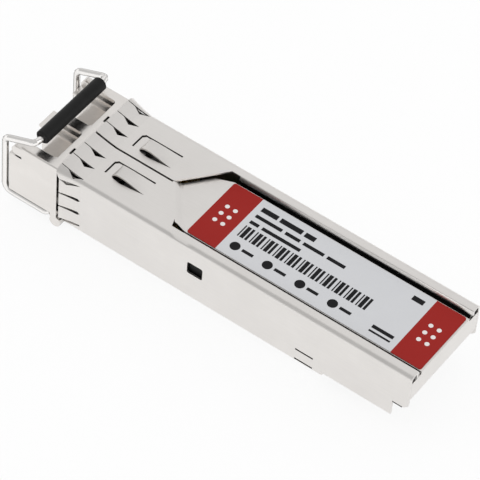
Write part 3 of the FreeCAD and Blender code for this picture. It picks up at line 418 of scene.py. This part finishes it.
def board_laminate():
    """Green solder mask with paler tracks under it, and painted shade deep among the parts."""
    material, tree, shader = new_finish("board laminate", Specular_IOR_Level=0.5)
    skin = effect(tree, MOULDED, Grain=3000.0)
    squares = {"Vector": coordinates(tree, stretch=(1, 0.35, 1)), "Scale": 1900.0}
    cells = add(tree, "TexVoronoi", squares, distance="CHEBYCHEV", feature="F1").outputs["Distance"]
    track = spread(tree, cells, low=0.42, high=0.46)
    mask = tint(tree, skin["Tone"], (0.008, 0.070, 0.028, 1), (0.012, 0.095, 0.040, 1))
    clean = tint(tree, track, mask, (0.022, 0.165, 0.070, 1))
    # Painted shade: the colour darkens to SHADED deep among the parts.
    painted_shade = effect(tree, CREVICE_SHADE, Reach=4.0 * MM, Start=0.60, Full=0.34)["Mask"]
    roughness = spread(tree, skin["Tone"], 0.2, 0.8, to_low=0.24, to_high=0.36)
    surface(tree, shader, tint(tree, painted_shade, clean, SHADED), roughness, track, depth=0.01 * MM)
    return material


FINISHES = {
    "cast_nose": metal(
        "cast nose", CAST, dull=(0.78, 0.75, 0.72), bright=(0.84, 0.81, 0.78),
        rough=(0.14, 0.24), depth=0.010 * MM, reach=3.0 * MM),
    "stamped_sleeve": metal(
        "stamped sleeve", ROLLED, dull=(0.77, 0.745, 0.72), bright=(0.83, 0.805, 0.78),
        rough=(0.30, 0.40), depth=0.006 * MM, edge=0.04 * MM, reshape=pressed_fold),
    "label_film": label_film(),
    "bail_steel": metal(
        "bail steel", ROLLED, dull=(0.94, 0.92, 0.90), bright=(0.99, 0.97, 0.95),
        rough=(0.14, 0.24), depth=0.006 * MM, grazing=(0.15, 0.147, 0.144), Fineness=1.6),
    "grip_sleeve": grip_rubber(),
    "latch_steel": metal(
        "latch steel", ROLLED, dull=(0.56, 0.55, 0.53), bright=(0.66, 0.65, 0.63),
        rough=(0.26, 0.38), depth=0.006 * MM),
    "spring_steel": metal(
        "spring steel", ROLLED, dull=(0.50, 0.48, 0.44), bright=(0.60, 0.58, 0.53),
        rough=(0.22, 0.34), depth=0.006 * MM),
    "shield_steel": metal(
        "shield steel", ROLLED, dull=(0.52, 0.52, 0.53), bright=(0.62, 0.62, 0.63),
        rough=(0.28, 0.42), depth=0.006 * MM),
    "cast_clamp": metal(
        "cast clamp", CAST, dull=(0.48, 0.48, 0.49), bright=(0.58, 0.58, 0.59),
        rough=(0.36, 0.50), depth=0.014 * MM),
    "receptacle_steel": metal(
        "receptacle steel", ROLLED, dull=(0.56, 0.55, 0.54), bright=(0.68, 0.67, 0.66),
        rough=(0.16, 0.28), depth=0.004 * MM, Fineness=2.0),
    "zirconia": dull_solid(
        "zirconia", dark=(0.78, 0.77, 0.73), pale=(0.86, 0.85, 0.82),
        rough=(0.18, 0.28), depth=0.002 * MM),
    "can_plating": metal(
        "can plating", CAST, dull=(0.72, 0.52, 0.22), bright=(0.84, 0.63, 0.30),
        rough=(0.20, 0.32), depth=0.006 * MM),
    "lead_plating": metal(
        "lead plating", ROLLED, dull=(0.74, 0.55, 0.24), bright=(0.86, 0.66, 0.33),
        rough=(0.18, 0.30), depth=0.004 * MM),
    "board_laminate": board_laminate(),
    "contact_gold": metal(
        "contact gold", ROLLED, dull=(0.78, 0.56, 0.20), bright=(0.90, 0.68, 0.29),
        rough=(0.16, 0.28), depth=0.003 * MM),
    "chip_epoxy": dull_solid(
        "chip epoxy", dark=(0.014, 0.014, 0.015), pale=(0.028, 0.028, 0.029),
        rough=(0.48, 0.66), depth=0.012 * MM),
    "gap_filler": dull_solid(
        "gap filler", dark=(0.30, 0.36, 0.42), pale=(0.38, 0.44, 0.50),
        rough=(0.55, 0.75), depth=0.02 * MM),
    "capacitor_body": dull_solid(
        "capacitor body", dark=(0.34, 0.20, 0.11), pale=(0.46, 0.29, 0.17),
        rough=(0.30, 0.45), depth=0.006 * MM),
    "resistor_body": dull_solid(
        "resistor body", dark=(0.02, 0.02, 0.022), pale=(0.05, 0.05, 0.054),
        rough=(0.30, 0.45), depth=0.006 * MM),
    "bead_body": dull_solid(
        "bead body", dark=(0.09, 0.09, 0.095), pale=(0.15, 0.15, 0.155),
        rough=(0.42, 0.58), depth=0.010 * MM),
}
DARK_INK = print_ink("dark ink", dark=(0.008, 0.008, 0.009), pale=(0.014, 0.014, 0.016))
WHITE_INK = print_ink("white ink", dark=(0.74, 0.70, 0.69), pale=(0.82, 0.79, 0.78))


def dress_nodes():
    """Every piece of the frame takes the finish that its record slot names."""
    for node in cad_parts.values():
        for slot in node.material_slots:
            slot.material = FINISHES[slot.material.name.split(".")[0]]


# Pieces that the solids leave out

def new_piece(name, finish, draw):
    """A mesh piece that rides on the housing, drawn by a function that fills a bmesh."""
    mesh = bmesh.new()
    draw(mesh)
    bmesh.ops.remove_doubles(mesh, verts=mesh.verts, dist=SAME_PLACE)
    bmesh.ops.recalc_face_normals(mesh, faces=mesh.faces)
    piece = bpy.data.objects.new(name, bpy.data.meshes.new(name))
    mesh.to_mesh(piece.data)
    mesh.free()
    piece.data.materials.append(finish)
    bpy.context.scene.collection.objects.link(piece)
    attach(piece, "housing")
    return piece


def spring_leaf(mesh):
    """The latch's leaf spring, taken from its solid."""
    mesh.from_mesh(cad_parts["latch_spring"].data)


def press_with_latch(leaf):
    """The leaf stands for its solid, which is hidden, and gets a mesh of its own."""
    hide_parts("latch_spring")
    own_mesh(leaf)


def strip(mesh, profile, front, rear):
    """A straight strip along the module with that (x, z) profile. Returns its long faces in that order."""
    near = [mesh.verts.new((x, front, z)) for x, z in profile]
    far = [mesh.verts.new((x, rear, z)) for x, z in profile]
    mesh.faces.new(near)
    mesh.faces.new(far)
    faces = []
    for this in range(len(profile)):
        after = (this + 1) % len(profile)
        faces.append(mesh.faces.new((near[this], near[after], far[after], far[this])))
    return faces


def rail_lips(mesh):
    """The rolled lips along both rails: the bend's outer skin, closed behind against the rail."""
    bend = [(RAIL_EDGE - inward, RAIL_TOP - down) for inward, down in LIP_BEND]
    foot = (RAIL_EDGE, bend[-1][1])
    for side in (-1, 1):
        faces = strip(mesh, [(side * x, z) for x, z in (*bend, foot)], RAIL_FRONT, RAIL_REAR)
        for face in faces[:len(bend) - 1]:
            face.smooth = True


def insulating_shade_film(mesh):
    """A strip of black film along each edge of the board, painted shade behind the window and the gaps, and
    its upper edge folded in.
    """
    for side in (-1, 1):
        inside = side * FILM_INSIDE
        outside = side * FILM_OUTSIDE
        edge = side * FILM_FOLD_EDGE
        upright = [(inside, FILM_FOOT), (outside, FILM_FOOT), (outside, FILM_TOP), (inside, FILM_TOP)]
        strip(mesh, upright, FILM_FRONT, FILM_REAR)
        folded = [(edge, FILM_TOP), (outside, FILM_TOP), (outside, FILM_FOLD_TOP), (edge, FILM_FOLD_TOP)]
        strip(mesh, folded, FILM_FOLD_FRONT, FILM_FOLD_REAR)


# Print on the label

def plate(mesh, low, high):
    """A thin printed rectangle on the film, between two (x, y) corners."""
    size = Vector((high[0] - low[0], high[1] - low[1], INK))
    middle = Vector(((low[0] + high[0]) / 2, (low[1] + high[1]) / 2, LABEL_HIGH[2] + INK / 2))
    where = Matrix.Translation(middle) @ Matrix.Diagonal((*size, 1))
    bmesh.ops.create_cube(mesh, size=1.0, matrix=where)


def dot(mesh, centre, radius):
    """A thin printed disc."""
    where = Matrix.Translation((*centre, LABEL_HIGH[2] + INK / 2))
    bmesh.ops.create_cone(mesh, cap_ends=True, segments=DOT_SEGMENTS, radius1=radius, radius2=radius,
                          depth=INK, matrix=where)


def dashes(mesh, across, start, lengths, height, gap):
    """A row of short bars along the label."""
    along = start
    for length in lengths:
        plate(mesh, (across - height / 2, along), (across + height / 2, along + length))
        along += length + gap


def stripes(mesh, low, high, start, end, unit):
    """A block of upright bars whose widths follow a plain repeating rule."""
    along = start
    index = 0
    while along < end:
        bar = unit * (1 + (index * 5) % 3)
        plate(mesh, (low, along), (high, along + bar))
        along += bar + unit * (1 + (index * 7 + 2) % 3 % 2)
        index += 1


def dark_print(mesh):
    """Dashes, stripes and discs on the pale middle."""
    for row in FRONT_ROWS:
        dashes(mesh, *row)
    stripes(mesh, STRIPES_LOW, STRIPES_HIGH, PRINT_START, STRIPES_END, STRIPE_UNIT)
    for along in DISC_PLACES:
        dot(mesh, (DISC_ROW, along), DISC_RADIUS)
        dashes(mesh, DISC_ROW, along + DISC_DASH_START, [DISC_DASH_LENGTH], DISC_DASH_HEIGHT, 0.0)
    for row in REAR_ROWS:
        dashes(mesh, *row)


def white_print(mesh):
    """Two rows of dots on each red end."""
    for middle in (LABEL_LOW[1] + END_FIELD / 2, LABEL_HIGH[1] - END_FIELD / 2):
        for across in END_DOTS_ACROSS:
            for along in END_DOTS_ALONG:
                dot(mesh, (across, middle + along), END_DOT_RADIUS)


# The room: its light on matt surfaces, how white its ceiling looks in metal, and the heights between which
# the white of the horizon passes into it
ROOM_LIGHT = 0.86
CEILING = 0.54
CEILING_HEIGHTS = (0.10, 0.32)
WHITE = (1, 1, 1, 1)
# The floor: half its width, its paint, and the share of it that the eye sees through
FLOOR_HALF = 1.5
FLOOR_PAINT = (0.92, 0.92, 0.92, 1)
FLOOR_CLEAR = 0.90
SOFTBOXES = {
    "key softbox": {"place": (-0.36, -0.23, 0.50), "size": 0.60, "watts": 0.35},
    "rear softbox": {"place": (0.10, 0.60, 0.45), "size": 0.40, "watts": 0.8},
}


def white_to_camera(tree):
    """1 for rays from the eye, a mirror or glass, 0 for rays that only light a surface."""
    path = add(tree, "LightPath").outputs
    seen = combine(tree, "MAXIMUM", path["Is Camera Ray"], path["Is Glossy Ray"])
    return combine(tree, "MAXIMUM", seen, path["Is Transmission Ray"])


def make_floor():
    """A pale floor that keeps a soft shadow, and lets the eye see what hangs below it."""
    mesh = bmesh.new()
    bmesh.ops.create_grid(mesh, x_segments=1, y_segments=1, size=FLOOR_HALF)
    floor = bpy.data.objects.new("floor", bpy.data.meshes.new("floor"))
    mesh.to_mesh(floor.data)
    mesh.free()
    material = bpy.data.materials.new("floor paint")
    material.use_nodes = True
    tree = material.node_tree
    tree.nodes.clear()
    paint = add(tree, "BsdfDiffuse", {"Color": FLOOR_PAINT}).outputs[0]
    clear = add(tree, "BsdfTransparent").outputs[0]
    share = combine(tree, "MULTIPLY", white_to_camera(tree), FLOOR_CLEAR)
    mixed = add(tree, "MixShader", {0: share, 1: paint, 2: clear}).outputs[0]
    add(tree, "OutputMaterial", {"Surface": mixed})
    floor.data.materials.append(material)
    bpy.context.scene.collection.objects.link(floor)


def make_world():
    """White to the eye, a white horizon under a darker ceiling to metal, and an even light to the rest."""
    world = bpy.data.worlds.new("studio")
    world.use_nodes = True
    tree = world.node_tree
    tree.nodes.clear()
    room = add(tree, "Background", {"Color": WHITE, "Strength": ROOM_LIGHT}).outputs[0]
    height = axes(tree, add(tree, "TexCoord").outputs["Generated"])[2]
    overhead = spread(tree, height, *CEILING_HEIGHTS, to_low=1.0, to_high=CEILING)
    seen = combine(tree, "MAXIMUM", overhead, add(tree, "LightPath").outputs["Is Camera Ray"])
    white = add(tree, "Background", {"Color": WHITE, "Strength": seen}).outputs[0]
    mixed = add(tree, "MixShader", {0: white_to_camera(tree), 1: room, 2: white}).outputs[0]
    add(tree, "OutputWorld", {"Surface": mixed})
    bpy.context.scene.world = world


def make_softbox(name, place, size, watts):
    """A square lamp that faces the module."""
    lamp = bpy.data.lights.new(name, "AREA")
    lamp.shape = "SQUARE"
    lamp.size = size
    lamp.energy = watts
    holder = bpy.data.objects.new(name, lamp)
    position = Vector(place)
    facing = (-position).to_track_quat("-Z", "Y")
    holder.matrix_world = Matrix.LocRotScale(position, facing, None)
    bpy.context.scene.collection.objects.link(holder)


def make_camera():
    azimuth, elevation = CAMERA_AZIMUTH, CAMERA_ELEVATION
    back = Vector((sin(azimuth) * cos(elevation), -cos(azimuth) * cos(elevation), sin(elevation)))
    level = Vector((cos(azimuth), sin(azimuth), 0))
    upright = Matrix((level, back.cross(level), back)).transposed().to_4x4()
    data = bpy.data.cameras.new("camera")
    data.lens = CAMERA_LENS
    data.sensor_width = CAMERA_SENSOR
    data.clip_start = CAMERA_NEAR
    camera = bpy.data.objects.new("camera", data)
    turn = upright @ Matrix.Rotation(CAMERA_ROLL, 4, "Z")
    camera.matrix_world = Matrix.Translation(CAMERA_TARGET + back * CAMERA_DISTANCE) @ turn
    bpy.context.scene.collection.objects.link(camera)
    bpy.context.scene.camera = camera


dress_nodes()
new_piece("rail_lips", FINISHES["stamped_sleeve"], rail_lips)
press_with_latch(new_piece("latch_spring_leaf", FINISHES["spring_steel"], spring_leaf))
# A black film that paints shade into the window and the gaps beside the label.
new_piece("insulating_shade_film", FINISHES["grip_sleeve"], insulating_shade_film)
new_piece("label_dark_print", DARK_INK, dark_print)
new_piece("label_white_print", WHITE_INK, white_print)
make_floor()
make_world()
for softbox, settings in SOFTBOXES.items():
    make_softbox(softbox, **settings)
make_camera()
bpy.context.scene.view_settings.view_transform = "Standard"
